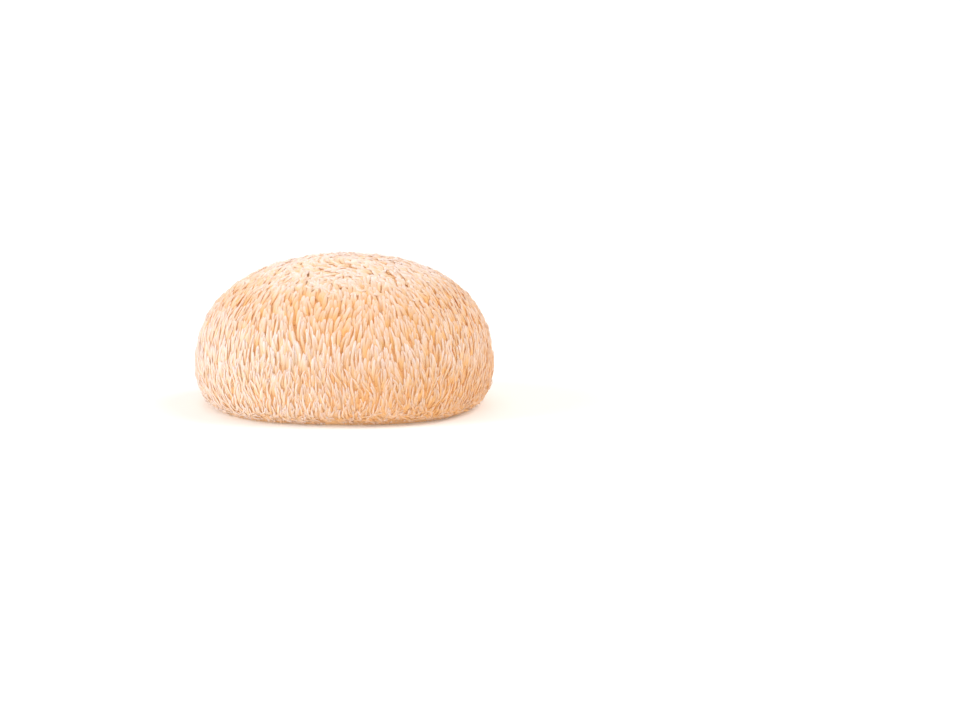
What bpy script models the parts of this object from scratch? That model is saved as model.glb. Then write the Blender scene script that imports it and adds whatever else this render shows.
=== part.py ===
"""Lion's mane mushroom, picked: one rounded fruit body that rests on the flat where it was cut off.

The fruit body grew as one piece, so it is one closed solid. Its surface is the outside of the mane, the
face that the tips of the soft teeth make together. +Z is up, +X is to the right and -Y faces the
viewer. The origin is the middle of the flat cut, on the surface that the mushroom lies on.
"""

import math

import bmesh
import bpy

# Driving dimensions, in metres.
ACROSS = 0.118  # mean width of the mane at its girth
DEPTH_SHARE = 0.97  # front to back, as a share of the width
HEIGHT = 0.0595  # from the cut to the crown
GIRTH_HEIGHT = 0.017  # height of the widest part above the cut
BASE_RADIUS = 0.052  # of the flat that it rests on: the cut and the teeth pressed flat round it
CROWN_SHIFT = 0.002  # how far the crown leans to +X
CROWN_FULLNESS = 0.915  # 1 is a plain ellipse up to the crown, and less is a fuller, flatter one

# The gentle lobes of the mane, seen from above: how many there are round the body, how far they swell
# as a share of the radius, and the direction of the first, in degrees from +X.
LOBES = ((2, 0.034, 134.0), (3, 0.008, 80.0), (4, 0.009, 47.0), (5, 0.026, 13.0))

# The cage that is subdivided into the smooth form.
CAGE_AROUND = 20  # faces round the girth
CAGE_UP = 12  # faces from pole to pole
CAGE_LEVELS = 2
BASE_LATITUDE = 60.0  # degrees below the girth where the cage turns in to the flat

MANE_COLOUR = (0.86, 0.66, 0.45, 1.0)
MANE_ROUGHNESS = 0.8


def remove_objects():
    """Clears the scene that Blender opened with."""
    for found in list(bpy.data.objects):
        bpy.data.objects.remove(found, do_unlink=True)


def cage_swell(step):
    """How much larger a cage with this turn between its points is than the curve that it settles to."""
    return 3.0 / (2.0 + math.cos(step))


def profile(latitude):
    """The radius and height of the form at a latitude of the cage, in degrees above its girth."""
    half_across = ACROSS / 2 * cage_swell(math.radians(180.0 / CAGE_UP))
    if latitude >= 0.0:
        turn = math.radians(latitude)
        rise = (HEIGHT - GIRTH_HEIGHT) * cage_swell(math.radians(180.0 / CAGE_UP))
        reach = max(0.0, math.cos(turn)) ** CROWN_FULLNESS
        return half_across * reach, GIRTH_HEIGHT + rise * math.sin(turn) ** CROWN_FULLNESS
    if latitude >= -BASE_LATITUDE:
        turn = math.radians(-latitude * 90.0 / BASE_LATITUDE)
        overhang = half_across - BASE_RADIUS
        return BASE_RADIUS + overhang * math.cos(turn), GIRTH_HEIGHT * (1.0 - math.sin(turn))
    return BASE_RADIUS * (90.0 + latitude) / (90.0 - BASE_LATITUDE), 0.0


def lobed(direction):
    """How far the lobes swell the form in a direction seen from above, in radians, as a factor."""
    return 1.0 + sum(
        share * math.cos(count * (direction - math.radians(first))) for count, share, first in LOBES
    )


def shape_cage(bm):
    """Turns a unit sphere's points into the cage of the fruit body."""
    around = cage_swell(math.tau / CAGE_AROUND)
    for point in bm.verts:
        x, y, z = point.co
        direction = math.atan2(y, x)
        radius, height = profile(math.degrees(math.asin(max(-1.0, min(1.0, z)))))
        radius *= around * lobed(direction)
        lean = CROWN_SHIFT * (height / HEIGHT) ** 2
        depth = DEPTH_SHARE * radius * math.sin(direction)
        point.co = (radius * math.cos(direction) + lean, depth, height)


def crease_base(bm):
    """Keeps the rim of the flat sharp, so that the flat stays flat when it is subdivided."""
    crease = bm.edges.layers.float.new("crease_edge")
    for edge in bm.edges:
        on_flat = [face for face in edge.link_faces if all(v.co.z < 1e-6 for v in face.verts)]
        if len(on_flat) == 1:
            edge[crease] = 1.0


def mane_material():
    """Pale cream, with no gloss."""
    material = bpy.data.materials.new("mane")
    material.use_nodes = True
    shader = material.node_tree.nodes["Principled BSDF"]
    shader.inputs["Base Color"].default_value = MANE_COLOUR
    shader.inputs["Roughness"].default_value = MANE_ROUGHNESS
    shader.inputs["Metallic"].default_value = 0.0
    return material


def fruit_body(collection):
    """The whole mushroom, from the cut to the outside of its teeth."""
    bm = bmesh.new()
    bmesh.ops.create_uvsphere(bm, u_segments=CAGE_AROUND, v_segments=CAGE_UP, radius=1.0)
    shape_cage(bm)
    crease_base(bm)
    mesh = bpy.data.meshes.new("fruit_body")
    bm.to_mesh(mesh)
    bm.free()
    mesh.shade_smooth()
    mesh.materials.append(mane_material())

    body = bpy.data.objects.new("fruit_body", mesh)
    collection.objects.link(body)
    smooth = body.modifiers.new("soft form", "SUBSURF")
    smooth.levels = CAGE_LEVELS
    smooth.render_levels = CAGE_LEVELS
    return body


remove_objects()
mushroom = bpy.data.collections.new("lions_mane_mushroom")
bpy.context.scene.collection.children.link(mushroom)
fruit_body(mushroom)
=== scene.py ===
import math

import bmesh
import bpy
import numpy as np
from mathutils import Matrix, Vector
from mathutils.bvhtree import BVHTree


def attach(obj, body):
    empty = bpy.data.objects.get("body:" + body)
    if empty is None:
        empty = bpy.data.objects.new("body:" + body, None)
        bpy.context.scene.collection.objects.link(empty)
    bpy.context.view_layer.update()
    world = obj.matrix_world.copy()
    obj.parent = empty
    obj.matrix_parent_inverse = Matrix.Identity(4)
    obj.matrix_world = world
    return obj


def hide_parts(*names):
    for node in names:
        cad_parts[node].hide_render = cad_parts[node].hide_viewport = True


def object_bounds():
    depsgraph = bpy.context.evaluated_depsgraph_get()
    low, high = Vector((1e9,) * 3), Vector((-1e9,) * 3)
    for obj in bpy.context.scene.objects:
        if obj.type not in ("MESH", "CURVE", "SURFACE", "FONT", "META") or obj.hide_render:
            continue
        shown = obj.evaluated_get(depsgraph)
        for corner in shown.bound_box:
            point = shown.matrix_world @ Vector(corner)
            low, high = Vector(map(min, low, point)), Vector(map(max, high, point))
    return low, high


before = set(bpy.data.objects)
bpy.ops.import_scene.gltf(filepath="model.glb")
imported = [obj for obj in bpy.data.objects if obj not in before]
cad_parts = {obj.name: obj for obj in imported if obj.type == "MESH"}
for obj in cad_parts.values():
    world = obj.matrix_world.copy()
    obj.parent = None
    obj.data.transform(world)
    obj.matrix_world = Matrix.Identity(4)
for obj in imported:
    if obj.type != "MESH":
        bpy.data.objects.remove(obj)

cad_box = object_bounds()

# ---------------------------------------------------------------------------------------------
# Flesh: the pale spongy body that all the teeth grow from, and one growth with them. It fills the
# mushroom to just under its teeth, and stops above the board, where the lowest teeth lie flat.
# Where it shows between the teeth it is coloured orange, as painted warm shade.
FLESH_DEPTH = 0.0023  # under the tips of the thick teeth, up the sides and on the crown
FLESH_DEPTH_LOW = 0.0014  # under the tips of the fine teeth, low down
LOW_UP_TO = 0.010
DEEP_FROM = 0.032
FLESH_FOOT = 0.0004  # height of the flesh's rim over the board
UNDERSIDE_GAP = 0.0022  # how much higher the flesh is inside that rim
GAP_RADIUS = 0.048
GAP_SLOPE = 0.008
# The flesh's orange, darker than the pale cut face, is painted warm shade for the gaps between the teeth;
# its clouds vary at random.
FLESH_LIGHT = (0.95, 0.62, 0.34, 1.0)
FLESH_DARK = (0.93, 0.53, 0.24, 1.0)

node_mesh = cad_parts["fruit_body"].data
mane = bmesh.new()
mane.from_mesh(node_mesh)
bmesh.ops.remove_doubles(mane, verts=mane.verts, dist=1e-6)
mane.normal_update()
mane.verts.ensure_lookup_table()
mane.faces.ensure_lookup_table()


def fungus_material(name, light, dark, scale, stretch, bump):
    """Dry fungus flesh: cream clouds, and a fine grain that dulls and roughens it."""
    material = bpy.data.materials.new(name)
    material.use_nodes = True
    nodes, links = material.node_tree.nodes, material.node_tree.links
    shader = nodes["Principled BSDF"]
    shader.inputs["Specular IOR Level"].default_value = 0.2
    place = nodes.new("ShaderNodeTexCoord")
    lay = nodes.new("ShaderNodeMapping")
    lay.inputs["Scale"].default_value = stretch
    links.new(place.outputs["Object"], lay.inputs["Vector"])
    clouds = nodes.new("ShaderNodeTexNoise")
    clouds.inputs["Scale"].default_value = scale
    clouds.inputs["Detail"].default_value = 5.0
    links.new(lay.outputs["Vector"], clouds.inputs["Vector"])
    tint = nodes.new("ShaderNodeValToRGB")
    tint.color_ramp.elements[0].position = 0.3
    tint.color_ramp.elements[0].color = dark
    tint.color_ramp.elements[1].position = 0.7
    tint.color_ramp.elements[1].color = light
    links.new(clouds.outputs["Fac"], tint.inputs["Fac"])
    links.new(tint.outputs["Color"], shader.inputs["Base Color"])
    dullness = nodes.new("ShaderNodeMapRange")
    dullness.inputs["To Min"].default_value = 0.7
    dullness.inputs["To Max"].default_value = 0.9
    links.new(clouds.outputs["Fac"], dullness.inputs["Value"])
    links.new(dullness.outputs["Result"], shader.inputs["Roughness"])
    grain = nodes.new("ShaderNodeTexNoise")
    grain.inputs["Scale"].default_value = scale * 8
    links.new(lay.outputs["Vector"], grain.inputs["Vector"])
    relief = nodes.new("ShaderNodeBump")
    relief.inputs["Strength"].default_value = 0.6
    relief.inputs["Distance"].default_value = bump
    links.new(grain.outputs["Fac"], relief.inputs["Height"])
    links.new(relief.outputs["Normal"], shader.inputs["Normal"])
    return material


def finish_piece(mesh, name, material):
    """Makes a mesh into a smooth piece of the mushroom, in place of the CAD solid."""
    mesh.shade_smooth()
    mesh.materials.append(material)
    piece = bpy.data.objects.new(name, mesh)
    bpy.context.collection.objects.link(piece)
    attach(piece, "root")
    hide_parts("fruit_body")


bm = mane.copy()
for point in bm.verts:
    under = point.co.z < 1e-6
    share = min(1.0, max(0.0, (point.co.z - LOW_UP_TO) / (DEEP_FROM - LOW_UP_TO)))
    point.co -= point.normal * (FLESH_DEPTH_LOW + (FLESH_DEPTH - FLESH_DEPTH_LOW) * share)
    if under:
        inside = (GAP_RADIUS - math.hypot(point.co.x, point.co.y)) / GAP_SLOPE
        point.co.z = FLESH_FOOT + UNDERSIDE_GAP * min(1.0, max(0.0, inside))
flesh_mesh = bpy.data.meshes.new("flesh")
bm.to_mesh(flesh_mesh)
bm.free()
flesh_finish = fungus_material("flesh", FLESH_LIGHT, FLESH_DARK, 120.0, (1, 1, 1), 0.0002)
finish_piece(flesh_mesh, "flesh", flesh_finish)

# ---------------------------------------------------------------------------------------------
# Cut face: the flat in the middle of the underside, where a knife took the mushroom off its block.
# It is white spongy flesh with the fibres cut across, roughly round, and it carries the weight.
CUT_RADIUS = 0.024
CUT_HEIGHT = 0.0002
CUT_DEPTH = 0.003  # how far it reaches up into the flesh
CUT_ROUNDING = 0.0004
CUT_RAGGED = 0.06  # of its radius
CUT_WAVES = ((3, 1.0, 0.6), (7, 0.5, 0.0), (17, 0.3, 0.0))  # how many round it, share and start
CUT_LIGHT = (0.93, 0.86, 0.72, 1.0)
CUT_DARK = (0.90, 0.76, 0.56, 1.0)

bm = bmesh.new()
bmesh.ops.create_circle(bm, cap_ends=True, segments=96, radius=CUT_RADIUS)
for point in bm.verts:
    turn = math.atan2(point.co.y, point.co.x)
    waves = sum(share * math.sin(count * turn + start) for count, share, start in CUT_WAVES)
    ragged = 1 + CUT_RAGGED * waves
    point.co = (point.co.x * ragged, point.co.y * ragged, CUT_HEIGHT)
stem = bmesh.ops.extrude_face_region(bm, geom=list(bm.faces))["geom"]
risen = [part for part in stem if isinstance(part, bmesh.types.BMVert)]
bmesh.ops.translate(bm, verts=risen, vec=(0, 0, CUT_DEPTH))
bmesh.ops.recalc_face_normals(bm, faces=bm.faces)
edge = [e for e in bm.edges if all(v.co.z < 2 * CUT_HEIGHT for v in e.verts)]
bmesh.ops.bevel(
    bm, geom=edge, affect="EDGES", offset=CUT_ROUNDING, segments=2, profile=0.5, material=-1
)
cut_mesh = bpy.data.meshes.new("cut_face")
bm.to_mesh(cut_mesh)
bm.free()
cut_finish = fungus_material("cut flesh", CUT_LIGHT, CUT_DARK, 260.0, (1, 1, 0.2), 0.0003)
finish_piece(cut_mesh, "cut_face", cut_finish)

# ---------------------------------------------------------------------------------------------
# Crown teeth: soft spines that start upright round the top and flop over on each other in a whorl.
# Each is one blunt finger nearly 2 mm wide, with its root in the flesh, and pale cream at its tip.
SIDES = 6
STATIONS = (0.0, 0.28, 0.52, 0.74, 0.90, 1.0)  # the rings of a tooth, as shares of its length
FLATNESS = 0.4  # thickness of a pressed tooth, as a share of its width
EVENNESS = 0.4  # how far a tooth's shading takes after the whole mane's
LOWEST = 0.00015  # a tooth's lowest point over the board
WHORL = np.array([0.003, -0.008, 0.0])  # the middle of the whorl, seen from above
# The roots' warmer, golden colours are painted shade for the gaps between the teeth; the tip colours are
# the teeth's own cream.
PALE_ROOT_PAINTED_SHADE = (0.90, 0.655, 0.44, 1.0)
PALE_TIP = (0.89, 0.745, 0.705, 1.0)
TAN_ROOT_PAINTED_SHADE = (0.87, 0.47, 0.18, 1.0)
TAN_TIP = (0.84, 0.58, 0.42, 1.0)
PAINTED_SHADE_UPWARDS = -8.0  # painted shade: the change from pale to tan per metre of height, tan lower down where less light falls
PAINTED_BOUNCE_TO_THE_RIGHT = 13.0  # painted warm bounce light: the change to tan per metre to the right, at the board
# the painted bounce light fades out up to this height
PAINTED_BOUNCE_UP_TO = 0.055
WARMTH_OF_CLOUDS = 0.5
# painted shade: the shoulder's band is made warmer, for the orange shade in the gaps between its tips
PAINTED_SHADE_OF_SHOULDER = 0.45
WARMTH_ALONE = 0.8  # from one tooth to the next

surface = BVHTree.FromBMesh(mane)
corners = np.array([[v.index for v in f.verts] for f in mane.faces])
corner_places = np.array([v.co for v in mane.verts])
corner_normals = np.array([v.normal for v in mane.verts])


def on_mane(points):
    """The nearest places on the outside of the mane, and the smooth normals there."""
    found = [surface.find_nearest(p)[0::2] for p in points.tolist()]
    places = np.array([f[0] for f in found])
    faces = corners[[f[1] for f in found]]
    a, b, c = (corner_places[faces[:, k]] for k in range(3))
    ab, ac, ap = b - a, c - a, places - a
    d00, d01, d11 = (ab * ab).sum(1), (ab * ac).sum(1), (ac * ac).sum(1)
    d20, d21 = (ap * ab).sum(1), (ap * ac).sum(1)
    area = np.maximum(d00 * d11 - d01 * d01, 1e-20)
    v = (d11 * d20 - d01 * d21) / area
    w = (d00 * d21 - d01 * d20) / area
    shares = np.stack([1 - v - w, v, w], 1)
    normals = (corner_normals[faces] * shares[:, :, None]).sum(1)
    return places, normals / np.linalg.norm(normals, axis=1, keepdims=True)


def drift(points, size, seed):
    """A smooth random number from about -1 to 1 at each point, with lumps of this size."""
    rng = np.random.default_rng(seed)
    waves = rng.normal(size=(12, 3))
    waves *= (math.tau / size / np.linalg.norm(waves, axis=1) * rng.uniform(0.6, 1.4, 12))[:, None]
    return np.sin(points @ waves.T + rng.uniform(0, math.tau, 12)).sum(1) / 3.5


def unit(vectors):
    return vectors / np.maximum(np.linalg.norm(vectors, axis=1, keepdims=True), 1e-12)


def smoothstep(low, high, x):
    t = np.clip((x - low) / (high - low), 0, 1)
    return t * t * (3 - 2 * t)


def turned(flow, normals, angle):
    return flow * np.cos(angle)[:, None] + np.cross(normals, flow) * np.sin(angle)[:, None]


def lie(places, normals, swirl):
    """Which way a tooth lies: up the sides, in to the whorl on the crown, and out underneath."""
    up = np.array([0.0, 0.0, 1.0]) - normals * normals[:, 2:3]
    steep = np.linalg.norm(up, axis=1)
    inward = WHORL - places
    inward[:, 2] = 0.0
    inward = unit(inward)
    inward = unit(inward - normals * (inward * normals).sum(1, keepdims=True))
    inward = turned(inward, normals, np.full(len(places), swirl))
    inward = np.where(normals[:, 2:3] < 0, -inward, inward)
    share = smoothstep(0.2, 0.75, steep)[:, None]
    return unit(inward * (1 - share) + unit(up) * share)


def between(low, high, blur):
    """A share that is 1 where the side of the mane is between two heights, with a ragged border."""

    def wanted(places, normals):
        height = places[:, 2] + blur * drift(places, 0.012, 21)
        inside = smoothstep(low - blur, low + blur, height)
        inside *= 1 - smoothstep(high - blur, high + blur, height)
        return inside * (normals[:, 2] > -0.8)

    return wanted


def scatter(across, along, swirl, wanted, seed):
    """Roots on the mane, kept apart by these distances across and along the lie of the teeth."""
    rng = np.random.default_rng(seed)
    a, b, c = (corner_places[corners[:, k]] for k in range(3))
    area = np.linalg.norm(np.cross(b - a, c - a), axis=1) / 2
    count = int(area.sum() / (across * along) * 7)
    pick = rng.choice(len(area), count, p=area / area.sum())
    u, v = rng.uniform(size=(2, count, 1))
    u, v = np.where(u + v > 1, 1 - u, u), np.where(u + v > 1, 1 - v, v)
    spots = a[pick] + (b - a)[pick] * u + (c - a)[pick] * v
    normals = unit(np.cross(b - a, c - a))[pick]
    chosen = wanted(spots, normals) > rng.uniform(size=count)
    spots = spots[chosen]
    flows = lie(spots, normals[chosen], swirl)
    cells, kept = {}, []
    for spot, flow, cell in zip(spots, flows, np.floor(spots / along).astype(int).tolist()):
        near = [
            other
            for i in (-1, 0, 1)
            for j in (-1, 0, 1)
            for k in (-1, 0, 1)
            for other in cells.get((cell[0] + i, cell[1] + j, cell[2] + k), ())
        ]
        if near:
            apart = np.array(near) - spot
            forward = apart @ flow
            sideways = (apart**2).sum(1) - forward**2
            if (forward**2 / along**2 + sideways / across**2).min() < 1:
                continue
        cells.setdefault(tuple(cell), []).append(spot)
        kept.append(spot)
    return np.array(kept)


def tooth_template():
    """One straight tooth with a radius and a length of 1, and its unwrapped map in a unit cell."""
    bm = bmesh.new()
    uv = bm.loops.layers.uv.new("cell")
    bmesh.ops.create_circle(bm, cap_ends=True, segments=SIDES, radius=1.0)
    bmesh.ops.reverse_faces(bm, faces=bm.faces)
    rim = list(bm.edges)
    for below, above in zip(STATIONS, STATIONS[1:]):
        made = bmesh.ops.extrude_edge_only(bm, edges=rim)["geom"]
        new = [v for v in made if isinstance(v, bmesh.types.BMVert)]
        edges = [e for e in made if isinstance(e, bmesh.types.BMEdge)]
        rim = [e for e in edges if e.verts[0] in new and e.verts[1] in new]
        bmesh.ops.translate(bm, verts=new, vec=(0, 0, above - below))
    bmesh.ops.pointmerge(bm, verts=new, merge_co=(0, 0, 1))
    bmesh.ops.recalc_face_normals(bm, faces=bm.faces)
    for face in bm.faces:
        middle = face.calc_center_median()
        for loop in face.loops:
            x, y, z = loop.vert.co
            if len(face.verts) == SIDES:
                loop[uv].uv = (0.5 + 0.4 * x, 0.04 + 0.03 * y)
                continue
            turn = math.atan2(middle.y, middle.x)
            own = math.atan2(y, x) if z < 0.999 else turn
            apart = (own - turn + math.pi) % math.tau - math.pi
            loop[uv].uv = ((turn % math.tau + apart) / math.tau, 0.1 + 0.88 * z)
    bm.verts.ensure_lookup_table()
    shape = np.array([v.co for v in bm.verts])
    faces = [[v.index for v in f.verts] for f in bm.faces]
    cell = np.array([loop[uv].uv for f in bm.faces for loop in f.loops])
    bm.free()
    return shape, faces, cell


template, template_faces, template_cell = tooth_template()
station_of = np.abs(template[:, 2:] - np.array(STATIONS)).argmin(1)


def teeth_material():
    """Cream teeth, pale at the tip and each its own shade, with painted shade: warm at the root where the
    gaps between teeth are, and tan low down, with painted warm bounce light on the lower right.
    """
    material = bpy.data.materials.new("teeth")
    material.use_nodes = True
    nodes, links = material.node_tree.nodes, material.node_tree.links
    shader = nodes["Principled BSDF"]
    shader.inputs["Specular IOR Level"].default_value = 0.25
    shader.inputs["Sheen Weight"].default_value = 0.3
    shader.inputs["Sheen Roughness"].default_value = 0.6
    shader.inputs["Sheen Tint"].default_value = (1.0, 0.86, 0.72, 1.0)
    along = nodes.new("ShaderNodeAttribute")
    along.attribute_name = "along"
    tone = nodes.new("ShaderNodeAttribute")
    tone.attribute_name = "tone"
    warm = nodes.new("ShaderNodeAttribute")
    warm.attribute_name = "warm"
    place = nodes.new("ShaderNodeTexCoord")

    def shade(root, root_until, tip, tip_from):
        ramp = nodes.new("ShaderNodeValToRGB")
        ramp.color_ramp.elements[0].position = root_until
        ramp.color_ramp.elements[0].color = root
        ramp.color_ramp.elements[1].position = tip_from
        ramp.color_ramp.elements[1].color = tip
        links.new(along.outputs["Fac"], ramp.inputs["Fac"])
        return ramp.outputs["Color"]

    # Warm roots: painted shade where the gaps between the teeth are.
    pale = shade(PALE_ROOT_PAINTED_SHADE, 0.35, PALE_TIP, 0.88)
    tan = shade(TAN_ROOT_PAINTED_SHADE, 0.45, TAN_TIP, 0.92)
    split = nodes.new("ShaderNodeSeparateXYZ")
    links.new(place.outputs["Object"], split.inputs["Vector"])
    # How strong the painted warm bounce light on the right is, fading out upwards.
    low_down = nodes.new("ShaderNodeMapRange")
    low_down.inputs["From Max"].default_value = PAINTED_BOUNCE_UP_TO
    low_down.inputs["To Min"].default_value = PAINTED_BOUNCE_TO_THE_RIGHT
    low_down.inputs["To Max"].default_value = 0.0
    links.new(split.outputs["Z"], low_down.inputs["Value"])
    clouds = nodes.new("ShaderNodeTexNoise")
    clouds.inputs["Scale"].default_value = 45.0
    clouds.inputs["Detail"].default_value = 2.0
    links.new(place.outputs["Object"], clouds.inputs["Vector"])

    def multiply_add(value, factor, added):
        node = nodes.new("ShaderNodeMath")
        node.operation = "MULTIPLY_ADD"
        for socket, source in zip(node.inputs, (value, factor, added)):
            if isinstance(source, float):
                socket.default_value = source
            else:
                links.new(source, socket)
        return node.outputs["Value"]

    # Painted shade: more tan lower down.
    warmth = multiply_add(split.outputs["Z"], PAINTED_SHADE_UPWARDS, warm.outputs["Fac"])
    # Painted warm bounce light: more tan to the right, low down. The clouds below are the teeth's own
    # patches.
    warmth = multiply_add(split.outputs["X"], low_down.outputs["Result"], warmth)
    warmth = multiply_add(clouds.outputs["Fac"], WARMTH_OF_CLOUDS, warmth)
    share = nodes.new("ShaderNodeClamp")
    links.new(warmth, share.inputs["Value"])
    mixed = nodes.new("ShaderNodeMix")
    mixed.data_type = "RGBA"
    links.new(share.outputs["Result"], mixed.inputs["Factor"])
    links.new(pale, mixed.inputs[6])
    links.new(tan, mixed.inputs[7])
    value = nodes.new("ShaderNodeMapRange")
    value.inputs["To Min"].default_value = 0.93
    value.inputs["To Max"].default_value = 1.03
    links.new(tone.outputs["Fac"], value.inputs["Value"])
    vary = nodes.new("ShaderNodeHueSaturation")
    links.new(value.outputs["Result"], vary.inputs["Value"])
    links.new(mixed.outputs[2], vary.inputs["Color"])
    links.new(vary.outputs["Color"], shader.inputs["Base Color"])

    grain = nodes.new("ShaderNodeTexNoise")
    grain.inputs["Scale"].default_value = 1800.0
    grain.inputs["Detail"].default_value = 2.0
    links.new(place.outputs["Object"], grain.inputs["Vector"])
    dullness = nodes.new("ShaderNodeMapRange")
    dullness.inputs["To Min"].default_value = 0.55
    dullness.inputs["To Max"].default_value = 0.8
    links.new(grain.outputs["Fac"], dullness.inputs["Value"])
    links.new(dullness.outputs["Result"], shader.inputs["Roughness"])
    relief = nodes.new("ShaderNodeBump")
    relief.inputs["Strength"].default_value = 0.4
    relief.inputs["Distance"].default_value = 0.00012
    links.new(grain.outputs["Fac"], relief.inputs["Height"])
    links.new(relief.outputs["Normal"], shader.inputs["Normal"])
    return material


teeth_finish = teeth_material()


def grow_teeth(
    name, places, length, radius, bluntness, root_depth, tip_depth, lean, wander, swirl, curl, warmth, seed
):
    """Grows a tooth from under each place, lying along the mane the way that its neighbours lie.

    Length, radius, bluntness and depths are each (mean, spread). lean turns all the teeth, and wander
    is how far they turn together in wide locks, together in small ones, and each alone, in degrees.
    """
    rng = np.random.default_rng(seed)
    n = len(places)

    def draw(mean, spread):
        return mean * (1 + spread * rng.normal(size=n).clip(-2, 2))

    long, thick, blunt, root = (draw(*each) for each in (length, radius, bluntness, root_depth))
    tip = tip_depth[0] + tip_depth[1] * rng.normal(size=n).clip(-2, 2)
    tone = rng.uniform(size=n)
    alone = np.radians(lean + wander[2] * rng.normal(size=n).clip(-2.2, 2.2))
    bend = curl * rng.normal(size=n)

    spots, normals = on_mane(places)
    centres, outs = [], []
    for k, t in enumerate(STATIONS):
        if k:
            spots, normals = on_mane(spots + flow * (long * (t - STATIONS[k - 1]))[:, None])
        locks = wander[0] * drift(spots, 0.030, 11) + wander[1] * drift(spots, 0.010, 12)
        flow = turned(lie(spots, normals, swirl), normals, np.radians(locks) + alone + bend * t)
        tuft = 0.0002 * drift(spots, 0.006, 13)
        depth = root * (1 - t) ** 1.3 + tip + tuft + thick * FLATNESS
        centres.append(spots - normals * depth[:, None])
        outs.append(normals)
    centres, outs = np.stack(centres, 1), np.stack(outs, 1)

    ways = np.gradient(centres, axis=1)
    ways /= np.linalg.norm(ways, axis=2, keepdims=True)
    sides = np.cross(outs, ways)
    sides /= np.linalg.norm(sides, axis=2, keepdims=True)
    ups = np.cross(ways, sides)
    t = np.array(STATIONS)
    swell = (0.8 + 0.2 * np.sin(np.pi * np.clip(t / 0.8, 0, 1)))[None, :]
    widths = thick[:, None] * swell * (1 - t[None, :] ** blunt[:, None]) ** 0.5

    s = station_of
    points = (
        centres[:, s]
        + sides[:, s] * (template[:, 0] * widths[:, s])[:, :, None]
        + ups[:, s] * (template[:, 1] * widths[:, s])[:, :, None] * FLATNESS
    )
    points[:, :, 2] = np.maximum(points[:, :, 2], LOWEST)

    corners_each = np.concatenate([np.array(f) for f in template_faces])
    sizes = np.array([len(f) for f in template_faces])
    verts_each = len(template)
    loops = (corners_each[None, :] + verts_each * np.arange(n)[:, None]).ravel()
    starts = np.concatenate([[0], np.cumsum(sizes)[:-1]])
    starts = (starts[None, :] + len(corners_each) * np.arange(n)[:, None]).ravel()

    mesh = bpy.data.meshes.new(name)
    mesh.vertices.add(n * verts_each)
    mesh.vertices.foreach_set("co", points.astype(np.float32).ravel())
    mesh.loops.add(len(loops))
    mesh.loops.foreach_set("vertex_index", loops.astype(np.int32))
    mesh.polygons.add(len(starts))
    mesh.polygons.foreach_set("loop_start", starts.astype(np.int32))
    mesh.update(calc_edges=True)
    rise = places[:, 2]
    # The shoulder band gets painted shade for its gaps; each tooth's own tan also varies at random.
    shoulder_band = smoothstep(0.022, 0.038, rise) * (1 - smoothstep(0.044, 0.054, rise))
    warm = warmth + PAINTED_SHADE_OF_SHOULDER * shoulder_band + WARMTH_ALONE * (rng.uniform(size=n) - 0.5)
    for label, values in (
        ("along", np.tile(template[:, 2], n)),
        ("tone", np.repeat(tone, verts_each)),
        ("warm", np.repeat(warm, verts_each)),
    ):
        mesh.attributes.new(label, "FLOAT", "POINT").data.foreach_set("value", values.astype(np.float32))
    columns = int(math.ceil(math.sqrt(n * 3.4)))
    rows = int(math.ceil(n / columns))
    cell = np.stack([np.arange(n) % columns, np.arange(n) // columns], 1)
    uv = (cell[:, None, :] + 0.06 + 0.88 * template_cell[None]) / (columns, rows)
    mesh.uv_layers.new(name="OFBake").uv.foreach_set("vector", uv.astype(np.float32).ravel())
    finish_piece(mesh, name, teeth_finish)
    own = np.empty(len(mesh.vertices) * 3, np.float32)
    mesh.vertex_normals.foreach_get("vector", own)
    soft = unit(own.reshape(-1, 3) * (1 - EVENNESS) + outs[:, s].reshape(-1, 3) * EVENNESS)
    mesh.normals_split_custom_set_from_vertices(soft.tolist())


grow_teeth(
    "crown_teeth", scatter(0.00125, 0.0017, 0.6, between(0.049, 0.2, 0.002), 31),
    length=(0.0056, 0.2), radius=(0.00088, 0.2), bluntness=(8.0, 0.2),
    root_depth=(0.0012, 0.15), tip_depth=(0.0001, 0.00015),
    lean=0, wander=(50, 30, 28), swirl=0.6, curl=0.4, warmth=0.32, seed=41,
)

# ---------------------------------------------------------------------------------------------
# Shoulder teeth: the thickest spines, blunt as fingers, side by side and pointing up to the crown.
# They lie over each other like shingles; the warm shade between their tips is painted into their colour.
grow_teeth(
    "shoulder_teeth", scatter(0.0013, 0.0020, 0.2, between(0.033, 0.049, 0.002), 32),
    length=(0.0076, 0.18), radius=(0.00086, 0.2), bluntness=(11.0, 0.25),
    root_depth=(0.0019, 0.15), tip_depth=(0.0001, 0.00015),
    lean=0, wander=(8, 5, 7), swirl=0.2, curl=0.15, warmth=0.46, seed=42,
)

# ---------------------------------------------------------------------------------------------
# Flank teeth: longer, thinner spines that cover the widest part, nearly parallel and pressed close.
# They point up too, because the mushroom grew the other way up, with its teeth hanging.
grow_teeth(
    "flank_teeth", scatter(0.00098, 0.0024, 0.0, between(0.016, 0.033, 0.003), 33),
    length=(0.0078, 0.18), radius=(0.00062, 0.2), bluntness=(9.0, 0.25),
    root_depth=(0.0014, 0.15), tip_depth=(0.0001, 0.00015),
    lean=0, wander=(6, 5, 7), swirl=0.0, curl=0.15, warmth=0.34, seed=43,
)

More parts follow.
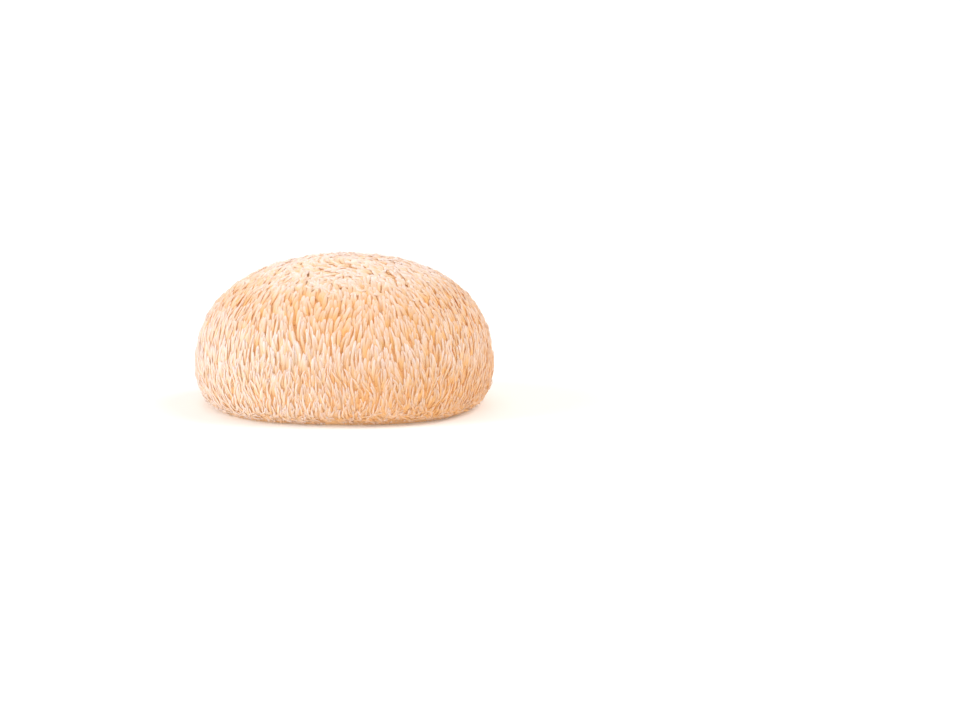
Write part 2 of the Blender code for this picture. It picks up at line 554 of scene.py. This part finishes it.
# ---------------------------------------------------------------------------------------------
# Skirt teeth: fine hair-like spines low on the sides, the thinnest of the mane and a little tangled.
# Their tan is painted shade, where the mushroom shades them, and they grow from the same flesh as the
# rest.
grow_teeth(
    "skirt_teeth", scatter(0.00074, 0.0020, 0.0, between(0.001, 0.016, 0.003), 34),
    length=(0.0064, 0.2), radius=(0.00048, 0.2), bluntness=(4.0, 0.25),
    root_depth=(0.0011, 0.15), tip_depth=(0.0001, 0.00015),
    lean=0, wander=(8, 12, 10), swirl=0.0, curl=0.3, warmth=0.4, seed=44,
)

# ---------------------------------------------------------------------------------------------
# Rim teeth: the lowest fine spines, bent over sideways and down by the mushroom's own weight until
# their tips lie on the board, so that they close the edge all the way round.
grow_teeth(
    "rim_teeth", scatter(0.00068, 0.0014, 0.0, between(-0.01, 0.0035, 0.001), 35),
    length=(0.0048, 0.2), radius=(0.00055, 0.18), bluntness=(2.4, 0.2),
    root_depth=(0.0014, 0.15), tip_depth=(0.0001, 0.00015),
    lean=-85, wander=(30, 35, 45), swirl=0.0, curl=0.3, warmth=0.6, seed=45,
)

# ---------------------------------------------------------------------------------------------
# Underside teeth: short spines round the cut face, pointing out to the rim. The mushroom's weight
# presses them flat on the board.
def round_the_cut(places, normals):
    reach = np.hypot(places[:, 0], places[:, 1])
    return (normals[:, 2] < -0.8) * (reach > CUT_RADIUS - 0.003)


grow_teeth(
    "underside_teeth", scatter(0.0016, 0.0034, 0.0, round_the_cut, 36),
    length=(0.0070, 0.2), radius=(0.00080, 0.18), bluntness=(2.8, 0.2),
    root_depth=(0.0018, 0.15), tip_depth=(0.0002, 0.0001),
    lean=0, wander=(20, 20, 10), swirl=0.0, curl=0.2, warmth=0.3, seed=46,
)

# ---------------------------------------------------------------------------------------------
# The board: a plain white matt sheet that the mushroom lies loose on. It is far wider than the view,
# so that no edge of it shows.
BOARD_RADIUS = 30.0
BOARD_WHITE = (0.97, 0.97, 0.97, 1.0)

bm = bmesh.new()
bmesh.ops.create_circle(bm, cap_ends=True, segments=64, radius=BOARD_RADIUS)
floor_mesh = bpy.data.meshes.new("floor")
bm.to_mesh(floor_mesh)
bm.free()
floor = bpy.data.objects.new("floor", floor_mesh)
bpy.context.collection.objects.link(floor)
paper = bpy.data.materials.new("white floor")
paper.use_nodes = True
paper_shader = paper.node_tree.nodes["Principled BSDF"]
paper_shader.inputs["Base Color"].default_value = BOARD_WHITE
paper_shader.inputs["Roughness"].default_value = 0.9
floor_mesh.materials.append(paper)

# ---------------------------------------------------------------------------------------------
# Light: a white room, seen brighter than it lights, with three broad soft suns from the sides and the
# top. Two fills without shadows, front and back, stand for the light that passes through the teeth.
ROOM_COLOUR = (1.0, 0.94, 0.86, 1.0)
ROOM_STRENGTH = 0.42
SEEN_STRENGTH = 1.1
SUN_ANGLE = math.radians(40)
SUNS = (
    ("front fill", (0.0, -1.0, 0.2), 0.22, False),
    ("back fill", (0.0, 1.0, 0.3), 0.30, False),
    ("left", (-1.0, -0.15, 0.45), 0.56, True),
    ("right", (1.0, 0.0, 1.2), 0.46, True),
    ("top", (-0.1, 0.0, 1.0), 0.14, True),
)

scene = bpy.context.scene
scene.view_settings.view_transform = "Standard"
world = bpy.data.worlds.new("soft white room")
world.use_nodes = True
room_nodes, room_links = world.node_tree.nodes, world.node_tree.links
room = room_nodes["Background"]
room.inputs["Color"].default_value = ROOM_COLOUR
room.inputs["Strength"].default_value = ROOM_STRENGTH
seen = room_nodes.new("ShaderNodeBackground")
seen.inputs["Color"].default_value = (1.0, 1.0, 1.0, 1.0)
seen.inputs["Strength"].default_value = SEEN_STRENGTH
which = room_nodes.new("ShaderNodeLightPath")
choose = room_nodes.new("ShaderNodeMixShader")
room_links.new(which.outputs["Is Camera Ray"], choose.inputs["Fac"])
room_links.new(room.outputs["Background"], choose.inputs[1])
room_links.new(seen.outputs["Background"], choose.inputs[2])
room_links.new(choose.outputs["Shader"], room_nodes["World Output"].inputs["Surface"])
scene.world = world

for light_name, towards, share, shadows in SUNS:
    lamp = bpy.data.lights.new(light_name, "SUN")
    lamp.energy = math.pi * share
    lamp.angle = SUN_ANGLE
    lamp.use_shadow = shadows
    light = bpy.data.objects.new(light_name, lamp)
    light.rotation_euler = Vector(towards).to_track_quat("Z", "Y").to_euler()
    bpy.context.collection.objects.link(light)

# ---------------------------------------------------------------------------------------------
# Camera: a little above the mushroom and level from side to side, with a long lens. It looks past the
# mushroom, which stands left of the middle of the view.
LENS = 85.0
SENSOR = 36.0
SHOWN_WIDTH = 0.3125  # share of the view's width that the mushroom fills
ELEVATION = math.radians(8.0)
AIM_RIGHT = 0.0536
AIM_DOWN = 0.0131

box_low, box_high = (Vector(corner) for corner in cad_box)
middle = (box_low + box_high) / 2
distance = (box_high.x - box_low.x) * LENS / SENSOR / SHOWN_WIDTH
view_up = Vector((0.0, math.sin(ELEVATION), math.cos(ELEVATION)))
camera_data = bpy.data.cameras.new("camera")
camera_data.lens = LENS
camera_data.sensor_width = SENSOR
camera_data.clip_start, camera_data.clip_end = 0.05, 100.0
camera = bpy.data.objects.new("camera", camera_data)
camera.location = middle + distance * Vector((0.0, -math.cos(ELEVATION), math.sin(ELEVATION)))
target = middle + Vector((AIM_RIGHT, 0.0, 0.0)) - view_up * AIM_DOWN
camera.rotation_euler = (target - camera.location).to_track_quat("-Z", "Y").to_euler()
bpy.context.collection.objects.link(camera)
scene.camera = camera
